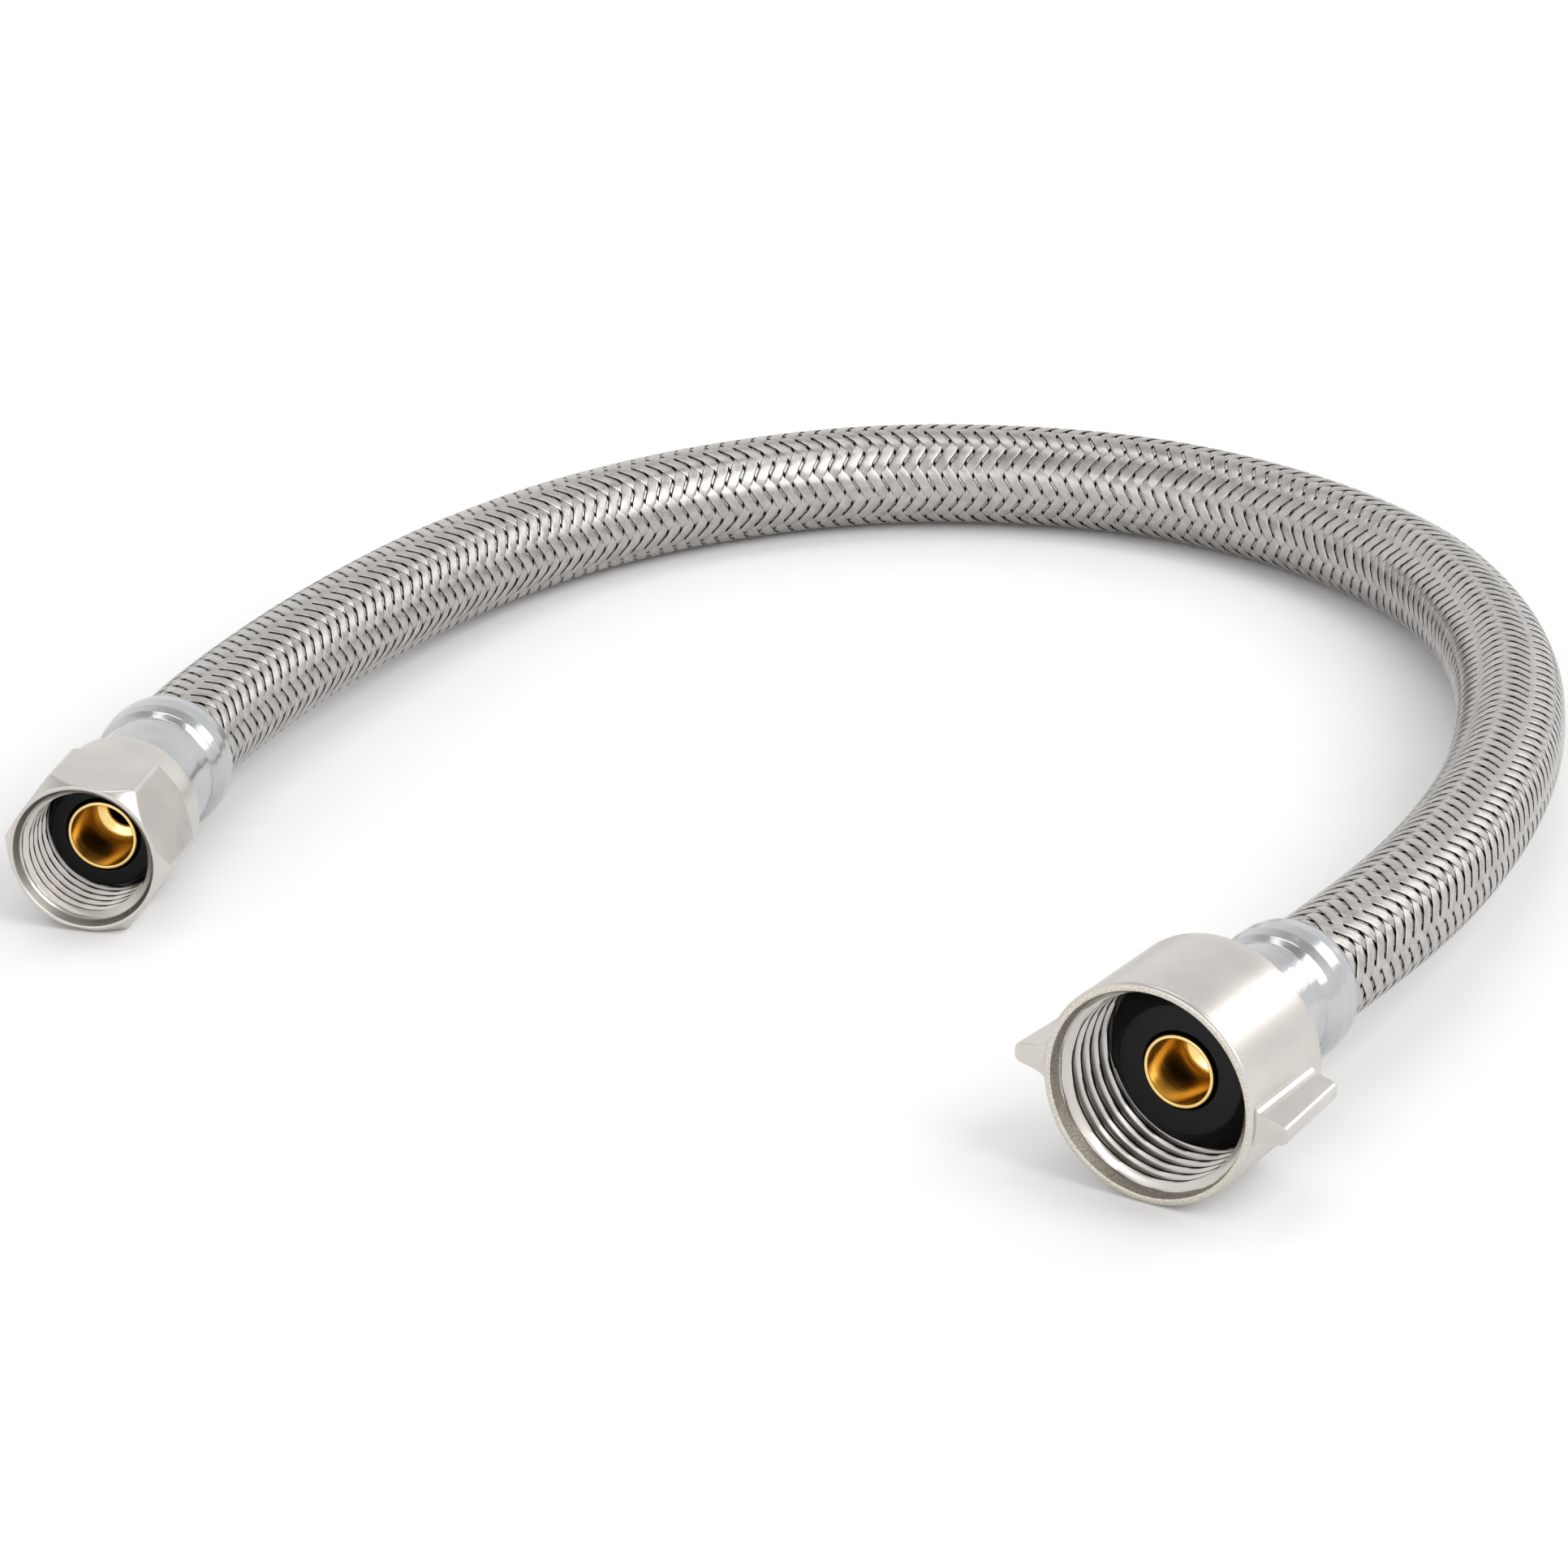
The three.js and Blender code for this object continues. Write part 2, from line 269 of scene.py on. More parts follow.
class Nodes:
    """Shorthand for building one material's nodes."""

    def __init__(self, name):
        self.material = bpy.data.materials.new(name)
        self.material.use_nodes = True
        self.tree = self.material.node_tree
        self.shader = self.tree.nodes["Principled BSDF"]

    def add(self, kind, **settings):
        node = self.tree.nodes.new(kind)
        for key, value in settings.items():
            if hasattr(node, key):
                setattr(node, key, value)
            else:
                node.inputs[key.replace("_", " ").title()].default_value = value
        return node

    def link(self, start, end):
        self.tree.links.new(start, end)

    def noise(self, scale, detail=3.0, stretch=(1, 1, 1)):
        place = self.add("ShaderNodeTexCoord")
        mapping = self.add("ShaderNodeMapping")
        mapping.inputs["Scale"].default_value = stretch
        self.link(place.outputs["Object"], mapping.inputs["Vector"])
        noise = self.add("ShaderNodeTexNoise")
        noise.inputs["Scale"].default_value = scale
        noise.inputs["Detail"].default_value = detail
        self.link(mapping.outputs["Vector"], noise.inputs["Vector"])
        return noise.outputs["Fac"]

    def ramp(self, value, low, high, start=0.0, end=1.0):
        """Maps a value between two numbers to between two others."""
        node = self.add("ShaderNodeMapRange")
        for key, number in zip(RAMP_SOCKETS, (start, end, low, high)):
            node.inputs[key].default_value = number
        self.link(value, node.inputs["Value"])
        return node.outputs["Result"]

    def colours(self, value, dark, light, start=0.0, end=1.0):
        node = self.add("ShaderNodeValToRGB")
        node.color_ramp.elements[0].position = start
        node.color_ramp.elements[0].color = (*dark, 1)
        node.color_ramp.elements[1].position = end
        node.color_ramp.elements[1].color = (*light, 1)
        self.link(value, node.inputs["Fac"])
        return node.outputs["Color"]

    def mix(self, share, low, high, data_type="FLOAT"):
        node = self.add("ShaderNodeMix", data_type=data_type)
        kind = "RGBA" if data_type == "RGBA" else "VALUE"
        sockets = {s.name: s for s in node.inputs if s.type == kind}
        if isinstance(share, float):
            node.inputs[0].default_value = share
        else:
            self.link(share, node.inputs[0])
        self.link(low, sockets["A"])
        self.link(high, sockets["B"])
        return next(s for s in node.outputs if s.type == kind)

    def near_mouth(self, radius, depth):
        """1 within a radius and a depth of a fitting's mouth, and 0 further away."""
        place = self.add("ShaderNodeTexCoord")
        flat = self.add("ShaderNodeVectorMath", operation="MULTIPLY")
        flat.inputs[1].default_value = (1, 0, 1)
        self.link(place.outputs["Object"], flat.inputs[0])
        away = self.add("ShaderNodeVectorMath", operation="LENGTH")
        self.link(flat.outputs["Vector"], away.inputs[0])
        parts = self.add("ShaderNodeSeparateXYZ")
        self.link(place.outputs["Object"], parts.inputs["Vector"])
        both = self.add("ShaderNodeMath", operation="MULTIPLY")
        fade = 0.1 * MM
        near_axis = self.ramp(away.outputs["Value"], 1, 0, radius, radius + fade)
        near_front = self.ramp(parts.outputs["Y"], 1, 0, depth, depth + fade)
        self.link(near_axis, both.inputs[0])
        self.link(near_front, both.inputs[1])
        return both.outputs["Value"]

    def bump(self, height, strength, distance):
        node = self.add("ShaderNodeBump")
        node.inputs["Strength"].default_value = strength
        node.inputs["Distance"].default_value = distance
        self.link(height, node.inputs["Height"])
        self.link(node.outputs["Normal"], self.shader.inputs["Normal"])

    def set(self, **values):
        for key, value in values.items():
            self.shader.inputs[key.replace("_", " ").title()].default_value = value


CAST_COLOURS = (0.50, 0.46, 0.40), (0.80, 0.76, 0.68)
CAST_ROUGHNESS = 0.4, 0.6
WINGED_RIM = 11.8 * MM, 1.35 * MM
# A turned piece's own +Y runs along its axis, so this stretch leaves fine rings round it.
TURNING_MARKS = (0.06, 1, 0.06)


def metal_material(
    name, dark, light, roughness, spread, grain, bump, stretch=(1, 1, 1), rim=None, relief=0.02
):
    """A metal whose grain varies its roughness and height. stretch draws the grain out into lines.

    Within rim (its radius and depth in metres) of the mouth the metal is dull and speckled, as cast.
    relief is how deep the grain's bumps are, in millimetres.
    """
    nodes = Nodes(name)
    nodes.set(metallic=1.0)
    cloud = nodes.noise(150, 3)
    colour = nodes.colours(cloud, dark, light, 0.3, 0.7)
    fine = nodes.noise(grain, 3, stretch)
    patches = nodes.noise(400, 2)
    level = nodes.ramp(nodes.mix(0.5, fine, patches), roughness - spread, roughness + spread, 0.3, 0.7)
    if rim:
        speckle = nodes.noise(5200, 2)
        cast = nodes.colours(speckle, *CAST_COLOURS, 0.35, 0.65)
        near_mouth = nodes.near_mouth(*rim)
        colour = nodes.mix(near_mouth, colour, cast, "RGBA")
        level = nodes.mix(near_mouth, level, nodes.ramp(speckle, *CAST_ROUGHNESS))
    nodes.link(colour, nodes.shader.inputs["Base Color"])
    nodes.link(level, nodes.shader.inputs["Roughness"])
    nodes.bump(fine, bump, relief * MM)
    return nodes.material


# Each look: dark and light colour, roughness and its spread, grain, bump and the grain's stretch.
NICKEL_LOOK = (0.57, 0.54, 0.51), (0.63, 0.60, 0.565), 0.3, 0.05, 2600, 0.05, TURNING_MARKS
NICKEL = metal_material("nickel_plate", *NICKEL_LOOK)
NICKEL_CAST_RIM = metal_material("nickel_plate_cast_rim", *NICKEL_LOOK, rim=WINGED_RIM)
STAINLESS_LOOK = (0.44, 0.445, 0.455), (0.56, 0.565, 0.575), 0.2, 0.05, 380, 0.7
STAINLESS = metal_material("ferrule_stainless", *STAINLESS_LOOK, relief=0.12)
BRASS_LOOK = (0.90, 0.62, 0.22), (0.97, 0.73, 0.33), 0.21, 0.06, 2600, 0.2, TURNING_MARKS
BRASS = metal_material("insert_brass", *BRASS_LOOK)

WIRES_PER_RIBBON = 9
BRAID_COLOURS = (0.40, 0.385, 0.365), (0.55, 0.53, 0.50)


def braid_material():
    """Each ribbon is a flat band of fine wires side by side, drawn by its place across."""
    nodes = Nodes("braid_stainless")
    nodes.set(metallic=1.0)
    place = nodes.add("ShaderNodeTexCoord")
    wires = nodes.add("ShaderNodeTexWave", bands_direction="X", wave_profile="SIN")
    wires.inputs["Scale"].default_value = WIRES_PER_RIBBON * math.pi / 10
    wires.inputs["Distortion"].default_value = 0
    nodes.link(place.outputs["UV"], wires.inputs["Vector"])
    cloud = nodes.noise(700, 3)
    colour = nodes.colours(cloud, *BRAID_COLOURS, 0.3, 0.7)
    nodes.link(colour, nodes.shader.inputs["Base Color"])
    nodes.link(nodes.ramp(cloud, 0.22, 0.34, 0.3, 0.7), nodes.shader.inputs["Roughness"])
    nodes.bump(wires.outputs["Fac"], 0.35, 0.03 * MM)
    return nodes.material


BRAID = braid_material()


def rubber_material(name, colour, roughness):
    nodes = Nodes(name)
    nodes.shader.inputs["Specular IOR Level"].default_value = 0.25
    grain = nodes.noise(1500, 4)
    light = tuple(c * 1.6 for c in colour)
    spread = 0.08
    level = nodes.ramp(grain, roughness - spread, roughness + spread)
    nodes.link(nodes.colours(grain, colour, light, 0.3, 0.7), nodes.shader.inputs["Base Color"])
    nodes.link(level, nodes.shader.inputs["Roughness"])
    nodes.bump(grain, 0.3, 0.03 * MM)
    return nodes.material


WASHER_RUBBER = rubber_material("washer_rubber", (0.004, 0.004, 0.005), 0.6)
LINER_RUBBER = rubber_material("liner_rubber", (0.03, 0.016, 0.013), 0.75)


def finish_piece(piece, material, slot, body, *nodes):
    piece.data.materials.append(material)
    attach(piece, body)
    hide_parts(*nodes)
    return piece


# ---------------------------------------------------------------- woven sleeve and liner
CARRIERS = 12  # ribbons each way
CROSSING = 1.08  # distance along the hose from one crossing of a ribbon to the next
RIBBON_WIDTH = 1.5
RIBBON_HALF_THICK = 0.055
WEAVE_RADIUS = 6.21
WEAVE_LIFT = 0.075
WEAVE_TURN = math.radians(-16)  # where round the hose the first ribbon starts
LINER_RADIUS = 5.95
LINER_WALL = 1.4
# A ribbon passes over two crossings and under the next two: (phase in crossings, height from
# -1 under to 1 over, width as a share). Between crossings its wires bunch up.
WEAVE_STEPS = [(0, 1, 1), (0.25, 1.05, 0.99), (0.5, 1.1, 0.88), (0.75, 1.05, 0.99)]
WEAVE_STEPS += [(1, 1, 1), (1.25, 0.7, 0.98), (1.5, 0, 0.84), (1.75, -0.7, 0.98)]
WEAVE_STEPS += [(phase + 2, -height, width) for phase, height, width in WEAVE_STEPS]
# Its section: (across, out), across from -1 to 1 of the half width and out in half thicknesses.
RIBBON_SECTION = [(-1, -0.5), (-0.8, 0.55), (-0.35, 1), (0.35, 1), (0.8, 0.55), (1, -0.5), (0, -1)]


def ribbon_track(carrier, hand):
    """Distances along the hose, and one ribbon's height and width there. hand is 1 or -1."""
    phases, heights, widths = np.array(WEAVE_STEPS).T
    shift = 2 * carrier * hand
    periods = np.arange(-20, HOSE.length / CROSSING / 4 + 20)[:, None]
    along = (CROSSING * (4 * periods + hand * phases - shift)).ravel()
    order = np.argsort(along)
    every = np.clip(along[order], 0, HOSE.length)
    along, first = np.unique(every, return_index=True)
    height = np.tile(heights * hand, len(periods))[order][first]
    width = np.tile(widths, len(periods))[order][first]
    return along, height, width


def ribbon(carrier, hand):
    """One ribbon's vertices row by row, with each one's place across and along the ribbon."""
    along, height, width = ribbon_track(carrier, hand)
    turn = math.pi / (CARRIERS * CROSSING)
    angle = WEAVE_TURN + 2 * math.pi * carrier / CARRIERS + hand * turn * along
    radius = WEAVE_RADIUS + WEAVE_LIFT * height
    centre, outward = HOSE.place(along, angle, radius)
    direction = np.gradient(centre, axis=0)
    across = np.cross(outward, direction)
    across *= (width * RIBBON_WIDTH / 2 / np.linalg.norm(across, axis=1))[:, None]
    corners = [centre + across * a + outward * RIBBON_HALF_THICK * o for a, o in RIBBON_SECTION]
    place = [np.stack([0 * along + a / 2 + 0.5, along], -1) for a, _ in RIBBON_SECTION]
    return np.stack(corners, 1), np.stack(place, 1)


def braided_sleeve():
    vertices, places, faces, start = [], [], [], 0
    sides = len(RIBBON_SECTION)
    for hand in (1, -1):
        for carrier in range(CARRIERS):
            rows, place = ribbon(carrier, hand)
            count = len(rows)
            quads = grid_faces(count, sides, start)[: (count - 1) * sides]
            first = start + np.arange(sides)
            last = first + sides * (count - 1)
            vertices.append(rows.reshape(-1, 3))
            places.append(place.reshape(-1, 2))
            faces += [*quads, first, last[::-1]]
            start += sides * count
    return new_mesh("woven_sleeve", np.vstack(vertices), faces, uv=np.vstack(places))


def liner():
    sides = 32
    angle = np.linspace(0, 2 * math.pi, sides, endpoint=False)
    along = np.linspace(0, HOSE.length, int(HOSE.length / 2))
    rows = []
    for radius in (LINER_RADIUS, LINER_RADIUS - LINER_WALL):
        grid, _ = HOSE.place(*np.broadcast_arrays(along[:, None], angle, radius))
        rows.append(grid if radius == LINER_RADIUS else grid[::-1])
    vertices = np.concatenate(rows).reshape(-1, 3)
    faces = facing_out(vertices, grid_faces(2 * len(along), sides))
    return new_mesh("liner_tube", vertices, faces)


sleeve = finish_piece(braided_sleeve(), BRAID, "braid_stainless", "hose_line", "braid_sleeve")
tube = finish_piece(liner(), LINER_RUBBER, "liner_rubber", "hose_line", "inner_tube")

# ---------------------------------------------------------------- nuts
WALL = 2.3  # thickness of a nut's back wall
NECK_HOLE = 5.3  # radius of the hole that turns on the insert's neck
NECK_HOLE_EDGE = 0.3
NECK_HOLE_EDGE_MIDDLE = 0.08
SEAT_EDGE = 0.2
SEAT_CORNER = 0.1
THREAD_RELIEF = 1.6, 1  # distances in front of the seat between which the thread fades out
CREASE_DEGREES = 38  # an edge that turns by more than this stays crisp
FIRST_ROW = 0.12  # of the thread, behind the mouth's own row
MOUTH_ROW = 0.05


def soft_step(value, start, end):
    share = np.clip((value - start) / (end - start), 0, 1)
    return share * share * (3 - 2 * share)


def edge_drop(y, length, edges):
    """How far a rounded front or back edge pulls the outside in."""
    drop = 0
    for away, edge in zip((y, length - y), edges):
        inside = np.clip(1 - away / edge, 0, 1)
        drop += edge * (1 - np.sqrt(1 - inside**2))
    return drop


def edge_places(length, edges, between):
    """Distances along a nut's outside: crowded round both edges, and those between them."""
    front, back = [edge * (1 - np.cos(np.linspace(0, math.pi / 2, 6))) for edge in edges]
    return np.concatenate([front, between, (length - back)[::-1]])


THREAD_FLAT = 0.22  # of the pitch, along each crest and each root
THREAD_SOFTENING = 0.4  # how much of a smooth curve is mixed into the straight flanks
ROWS_PER_PITCH = 16


def thread_rows(minor, major, pitch, start, end, angles):
    """Rows of a right-hand thread, from start to end, with rounded crests and roots."""
    rows = []
    for y in np.arange(start, end, pitch / ROWS_PER_PITCH):
        phase = (y / pitch + angles / (2 * math.pi)) % 1
        flank = np.clip((np.abs(2 * phase - 1) - THREAD_FLAT) / (1 - 2 * THREAD_FLAT), 0, 1)
        ridge = (1 - THREAD_SOFTENING) * flank + THREAD_SOFTENING * soft_step(flank, 0, 1)
        rows.append((major - (major - minor) * ridge, y))
    return rows


def flared(start, slope, bend, further_slope):
    """A mouth's least radius by distance: it narrows by slope, and by more past the bend."""
    return lambda y: start - slope * y - further_slope * max(y - bend, 0)


def nut_rows(outer, length, rim, thread, mouth, angles):
    """A nut's loop of rows: along its outside, down its back, through its bore and over its rim.

    mouth(y) is the least radius near the mouth, and rim is the inner radius of the front face.
    """
    minor, major, pitch = thread
    seat = length - WALL
    middle = (NECK_HOLE + major) / 2
    rows = list(outer)
    rows += [(middle, length), (NECK_HOLE + NECK_HOLE_EDGE, length)]
    rows += [(NECK_HOLE + NECK_HOLE_EDGE_MIDDLE, length - NECK_HOLE_EDGE_MIDDLE)]
    rows += [(NECK_HOLE, length - NECK_HOLE_EDGE)]
    rows += [(NECK_HOLE, seat + SEAT_EDGE), (NECK_HOLE + SEAT_EDGE, seat)]
    rows += [(middle, seat), (major - SEAT_CORNER, seat), (major, seat - SEAT_CORNER)]
    for radius, y in thread_rows(minor, major, pitch, FIRST_ROW, seat - SEAT_EDGE, angles)[::-1]:
        relief = soft_step(y, seat - THREAD_RELIEF[0], seat - THREAD_RELIEF[1])
        radius = radius + (major - radius) * relief
        rows.append((np.maximum(radius, mouth(y)), y))
    rows += [(mouth(MOUTH_ROW), MOUTH_ROW), (rim, 0)]
    return rows


# --- winged nut
WINGED_LENGTH = 15.0
WINGED_EDGES = (0.45, 0.3)  # rounding of the front and back edges
WINGED_FRONT, WINGED_BACK = 12.15, 12.0
WINGED_THREAD = 10.15, 11.1, 1.814  # crests' and roots' radii, and pitch
WINGED_FACE_BORE = 11.36
WINGED_MOUTH = flared(11.3, 0.3, 1.3, 0.9)
WING_ROLL = math.radians(-3)
WING_START, WING_END = 0.5, 12.6
WING_DRAFT = 0.05  # the wings get lower by this for each millimetre back
# A wing's side, from its tip to its root: (radius, half thickness).
WING_SIDE = [
    (15.85, 0),
    (15.83, 0.5),
    (15.7, 0.8),
    (15.45, 1.02),
    (15, 1.12),
    (14, 1.25),
    (13.1, 1.45),
    (12.6, 1.66),
    (12.3, 1.9),
    (12.17, 2.25),
    (12.15, 2.8),
]


def winged_angles():
    """Angles round the winged nut, crowded about both wings."""
    near = np.radians(np.linspace(-14, 14, 113))
    plain = np.radians(np.linspace(14, 166, 77)[1:-1])
    half_turn = np.concatenate([near, plain])
    return np.concatenate([half_turn, half_turn + math.pi]) + WING_ROLL


def winged_outer(y, angles):
    body = WINGED_FRONT + (WINGED_BACK - WINGED_FRONT) * y / WINGED_LENGTH
    body = body - edge_drop(y, WINGED_LENGTH, WINGED_EDGES)
    off = np.abs((angles - WING_ROLL + math.pi / 2) % math.pi - math.pi / 2)
    radius, half = np.array(WING_SIDE, float).T
    height = np.interp(off, np.arcsin(half / radius), radius) - WINGED_FRONT
    height = height * (1 - WING_DRAFT * (y - WING_START) / (radius[0] - WINGED_FRONT))
    reach = np.interp(y, WING_ENDS, WING_REACH)
    return body + height * reach


# The wings' front and back faces: how much of their height they have at each distance.
WING_ENDS = [0, 0.01, 0.05, 0.14, 0.3]
WING_REACH = [0, 0.92, 0.965, 0.99, 1]
WING_REACH = WING_REACH + WING_REACH[::-1]
WING_ENDS = [WING_START + e for e in WING_ENDS] + [WING_END - e for e in WING_ENDS[::-1]]


def winged_nut():
    angles = winged_angles()
    between = np.concatenate([WING_ENDS[:5], np.linspace(1.2, 12, 10), WING_ENDS[5:], [13.6]])
    outer = [(winged_outer(y, angles), y) for y in edge_places(WINGED_LENGTH, WINGED_EDGES, between)]
    rows = nut_rows(outer, WINGED_LENGTH, WINGED_FACE_BORE, WINGED_THREAD, WINGED_MOUTH, angles)
    return ring_piece("winged_nut_body", WINGED, rows, angles, sharp_degrees=CREASE_DEGREES)


finish_piece(winged_nut(), NICKEL_CAST_RIM, "nickel_plate", "winged_nut", "winged_nut")

# --- hexagonal nut
HEX_LENGTH = 15.5
HEX_EDGES = (0.1, 0.45)
HEX_ROLL = math.radians(-5)
HEX_FLAT = 8.55
HEX_CORNER = 9.78
HEX_FACE = 8.62  # radius of the front face, where the corners' front chamfer starts
HEX_CHAMFER_SLOPE = 0.62
HEX_SHOULDER = 8.5  # the round shoulder behind the corners, and where it starts
HEX_SHOULDER_START = 11.45
HEX_SHOULDER_SLOPE = 0.66
HEX_THREAD = 6.95, 7.55, 1.385
HEX_FACE_BORE = 8.24
HEX_MOUTH = flared(8.2, 0.5, 1, 0.6)


def hex_outer(y, angles):
    """A hexagon whose corners are turned down in front, and behind to a round shoulder."""
    off = (angles - HEX_ROLL + math.pi / 2 + math.pi / 6) % (math.pi / 3) - math.pi / 6
    corner = soft_min(HEX_FLAT / np.cos(off), HEX_CORNER, 0.12)
    front = HEX_FACE + HEX_CHAMFER_SLOPE * y
    back = HEX_SHOULDER - soft_min(0, HEX_SHOULDER_SLOPE * (y - HEX_SHOULDER_START), 0.1)
    radius = soft_min(soft_min(corner, front, 0.1), back, 0.06)
    return radius - edge_drop(y, HEX_LENGTH, HEX_EDGES)


def hex_nut():
    angles = np.linspace(0, 2 * math.pi, 240, endpoint=False)
    chamfer_rows, shoulder_rows = np.arange(0.2, 2.3, 0.1), np.arange(9.2, 12, 0.1)
    between = np.concatenate([chamfer_rows, np.linspace(2.5, 9, 6), shoulder_rows, [13, 14]])
    outer = [(hex_outer(y, angles), y) for y in edge_places(HEX_LENGTH, HEX_EDGES, between)]
    rows = nut_rows(outer, HEX_LENGTH, HEX_FACE_BORE, HEX_THREAD, HEX_MOUTH, angles)
    return ring_piece("hex_nut_body", HEX, rows, angles, sharp_degrees=CREASE_DEGREES)


finish_piece(hex_nut(), NICKEL, "nickel_plate", "hex_nut", "hex_nut")


# ---------------------------------------------------------------- inserts
INSERT_LIP = 6.5  # distance from the nut's mouth
INSERT_BORE = 2.2
CUP_RADIUS = 3.6
CUP_END = 14.2  # distance from the nut's mouth to the step, which slopes down to the bore
STEP_LENGTH = 0.6
TAIL_RADIUS = 4.05
FLANGE_RADIUS = 6.3
FLANGE_THICKNESS = 1.4
FLANGE_GAP = 0.3  # between the flange and the nut's back wall, and in front of it
INSERT_NECK = 5.0
NECK_END = 16.2
STEM_RADIUS, BARB_RADIUS = 3.1, 3.5
BARB_CRESTS = 17.7, 21, 24.3
BARB_LENGTH = 2.6
STEM_INSET = 3  # the stem stops this far inside the ferrule's rear lip


def insert(name, fitting, nut_length):
    """A brass tail: a cup in its mouth, a flange under the washer, a neck and a barbed stem."""
    flange_back = nut_length - WALL - FLANGE_GAP
    flange_front = flange_back - FLANGE_THICKNESS
    stem_end = fitting.ferrule_end - STEM_INSET
    outline = [
        (CUP_RADIUS, INSERT_LIP, 0.15),
        (TAIL_RADIUS, INSERT_LIP, 0.15),
        (TAIL_RADIUS, flange_front, 0.2),
        (FLANGE_RADIUS, flange_front, 0.2),
        (FLANGE_RADIUS, flange_back, 0.2),
        (INSERT_NECK, flange_back, 0.1),
        (INSERT_NECK, NECK_END, 0.3),
    ]
    for crest in BARB_CRESTS:
        outline += [(STEM_RADIUS, crest, 0.1), (BARB_RADIUS, crest, 0.05)]
        outline += [(STEM_RADIUS, crest + BARB_LENGTH, 0.3)]
    outline += [(STEM_RADIUS, stem_end, 0.2), (INSERT_BORE, stem_end, 0.2)]
    outline += [(INSERT_BORE, CUP_END + STEP_LENGTH, 0.3), (CUP_RADIUS, CUP_END, 0.6)]
    return turned_piece(name, fitting, outline)


winged_brass = insert("winged_insert_brass", WINGED, WINGED_LENGTH)
hex_brass = insert("hex_insert_brass", HEX, HEX_LENGTH)
finish_piece(winged_brass, BRASS, "insert_brass", "hose_line", "winged_insert")
finish_piece(hex_brass, BRASS, "insert_brass", "hose_line", "hex_insert")


# ---------------------------------------------------------------- washers
WASHER_BORE = 4.35


def washer(name, fitting, face, rim, nut_length):
    """A cone washer. face and rim are the (radius, distance) where its front and its cone end."""
    back = nut_length - WALL - FLANGE_GAP - FLANGE_THICKNESS - FLANGE_GAP
    outline = [(WASHER_BORE, face[1], 0.15), (*face, 0.3), (*rim, 0.2)]
    outline += [(rim[0], back, 0.2), (WASHER_BORE, back, 0.1)]
    return turned_piece(name, fitting, outline)


winged_rubber = washer("winged_washer_rubber", WINGED, (7.1, 6.9), (9.8, 10.1), WINGED_LENGTH)
hex_rubber = washer("hex_washer_rubber", HEX, (6.1, 6.9), (6.8, 8.6), HEX_LENGTH)
finish_piece(winged_rubber, WASHER_RUBBER, "washer_rubber", "hose_line", "winged_washer")
finish_piece(hex_rubber, WASHER_RUBBER, "washer_rubber", "hose_line", "hex_washer")


# ---------------------------------------------------------------- ferrules
FERRULE_SHEET = 0.32
FERRULE_HOLE = 5.35
FERRULE_NECK = 7.0
FERRULE_GAP = 0.4  # between the nut and the ferrule's front
CRIMP_PANELS = 8
CRIMP_DEPTH = 0.09
# The bead behind the neck: (radius, distance in front of the rear lip, rounding).
BEAD = [
    (FERRULE_NECK, 6.3, 0.3),
    (7.5, 5.5, 0.6),
    (7.76, 4.2, 1),
    (7.78, 2.4, 1),
    (7.55, 0.9, 0.6),
    (7.2, 0, 0.12),
]


def ferrule(name, fitting, nut_length):
    """A pressed sleeve: a front wall, a neck crimped in flat panels and a rolled bead."""
    front, end = nut_length + FERRULE_GAP, fitting.ferrule_end
    outline = [(FERRULE_HOLE, front, 0.1), (FERRULE_NECK, front, 0.35)]
    outline += [(r, end - y, edge) for r, y, edge in BEAD]
    outline += [(r - FERRULE_SHEET, end - y, edge) for r, y, edge in BEAD[::-1]]
    outline += [(FERRULE_NECK - FERRULE_SHEET, front + FERRULE_SHEET, 0.1)]
    outline += [(FERRULE_HOLE, front + FERRULE_SHEET, 0.1)]
    angles = np.linspace(0, 2 * math.pi, 192, endpoint=False)
    panel = math.pi / CRIMP_PANELS
    panels = np.cos(panel) / np.cos((angles % (2 * panel)) - panel)
    crimp = (1 - panels) / (1 - math.cos(panel))
    rows = []
    neck_end = end - BEAD[0][1]
    for radius, y in rounded(outline):
        rise = soft_step(y, front + 0.4, front + 2)
        fall = soft_step(y, neck_end - 2.2, neck_end - 0.3)
        rows.append((radius - CRIMP_DEPTH * crimp * rise * (1 - fall), y))
    return ring_piece(name, fitting, rows, angles)


winged_sleeve = ferrule("winged_ferrule_steel", WINGED, WINGED_LENGTH)
hex_sleeve = ferrule("hex_ferrule_steel", HEX, HEX_LENGTH)
finish_piece(winged_sleeve, STAINLESS, "ferrule_stainless", "hose_line", "winged_ferrule")
finish_piece(hex_sleeve, STAINLESS, "ferrule_stainless", "hose_line", "hex_ferrule")


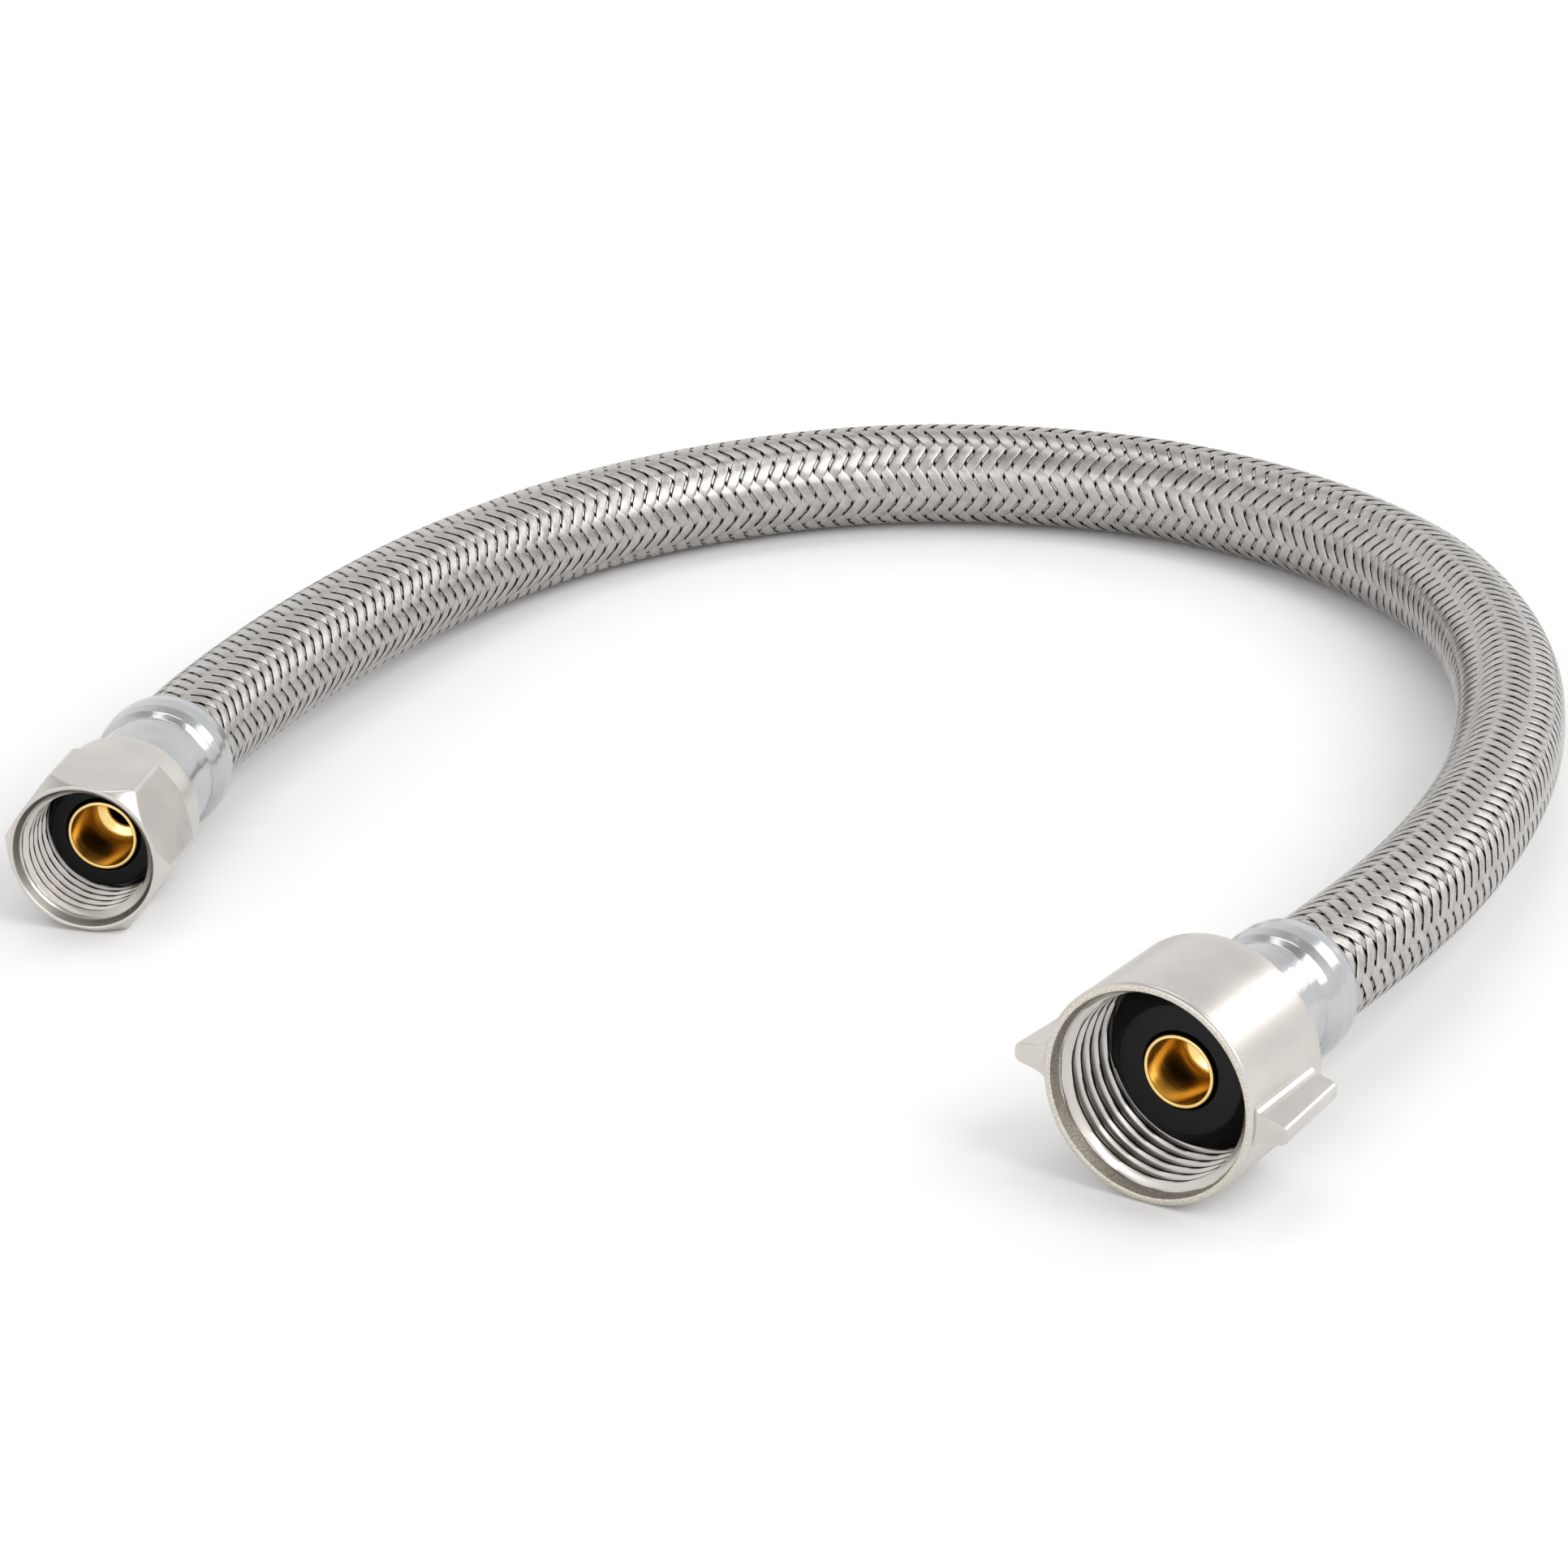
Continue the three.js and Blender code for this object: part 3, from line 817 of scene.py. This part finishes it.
# ---------------------------------------------------------------- floor and light
def floor():
    half = 3000
    corners = [(-half, -half, 0), (half, -half, 0), (half, half, 0), (-half, half, 0)]
    piece = new_mesh("floor", corners, [(0, 1, 2, 3)])
    nodes = Nodes("floor_paper")
    nodes.set(roughness=0.9)
    grain = nodes.noise(60, 3)
    colour = nodes.colours(grain, (0.88, 0.88, 0.88), (0.92, 0.92, 0.92))
    nodes.link(colour, nodes.shader.inputs["Base Color"])
    piece.data.materials.append(nodes.material)


floor()


LIGHT_DISTANCE = 1.3
LIT_POINT = Vector((0, 0.05, 0))


def softbox(name, at, size, power):
    data = bpy.data.lights.new(name, "AREA")
    data.shape = "RECTANGLE"
    data.size, data.size_y = size
    data.energy = power
    lamp = bpy.data.objects.new(name, data)
    lamp.location = at
    lamp.rotation_euler = (LIT_POINT - Vector(at)).to_track_quat("-Z", "Y").to_euler()
    bpy.context.scene.collection.objects.link(lamp)


def aimed(azimuth, elevation):
    """A light's place, seen from the object at these angles: azimuth from +X towards +Y."""
    turn, rise = math.radians(azimuth), math.radians(elevation)
    level = LIGHT_DISTANCE * math.cos(rise)
    return level * math.cos(turn), level * math.sin(turn), LIGHT_DISTANCE * math.sin(rise)


softbox("back_light", aimed(54, 28), (0.44, 0.44), 1.4)
softbox("right_light", aimed(-5, 45), (0.9, 0.9), 6.8)
softbox("front_light", aimed(-100, 17), (0.8, 0.16), 1.5)
softbox("top_light", aimed(113, 76), (0.9, 0.5), 2.4)

# The room is a white backdrop low down, and darkens towards the ceiling.
BACKDROP = 1.05
CEILING = 0.5
DARKENING = 0.45, 0.95  # from level to straight up as 0 to 1
world = bpy.data.worlds.new("room")
world.use_nodes = True
sky = world.node_tree
direction = sky.nodes.new("ShaderNodeTexCoord")
split = sky.nodes.new("ShaderNodeSeparateXYZ")
strength = sky.nodes.new("ShaderNodeMapRange")
strength.interpolation_type = "SMOOTHSTEP"
for socket, value in zip(RAMP_SOCKETS, (*DARKENING, BACKDROP, CEILING)):
    strength.inputs[socket].default_value = value
sky.links.new(direction.outputs["Generated"], split.inputs["Vector"])
sky.links.new(split.outputs["Z"], strength.inputs["Value"])
sky.links.new(strength.outputs["Result"], sky.nodes["Background"].inputs["Strength"])
sky.nodes["Background"].inputs["Color"].default_value = (1, 1, 1, 1)
bpy.context.scene.world = world
bpy.context.scene.view_settings.view_transform = "Standard"
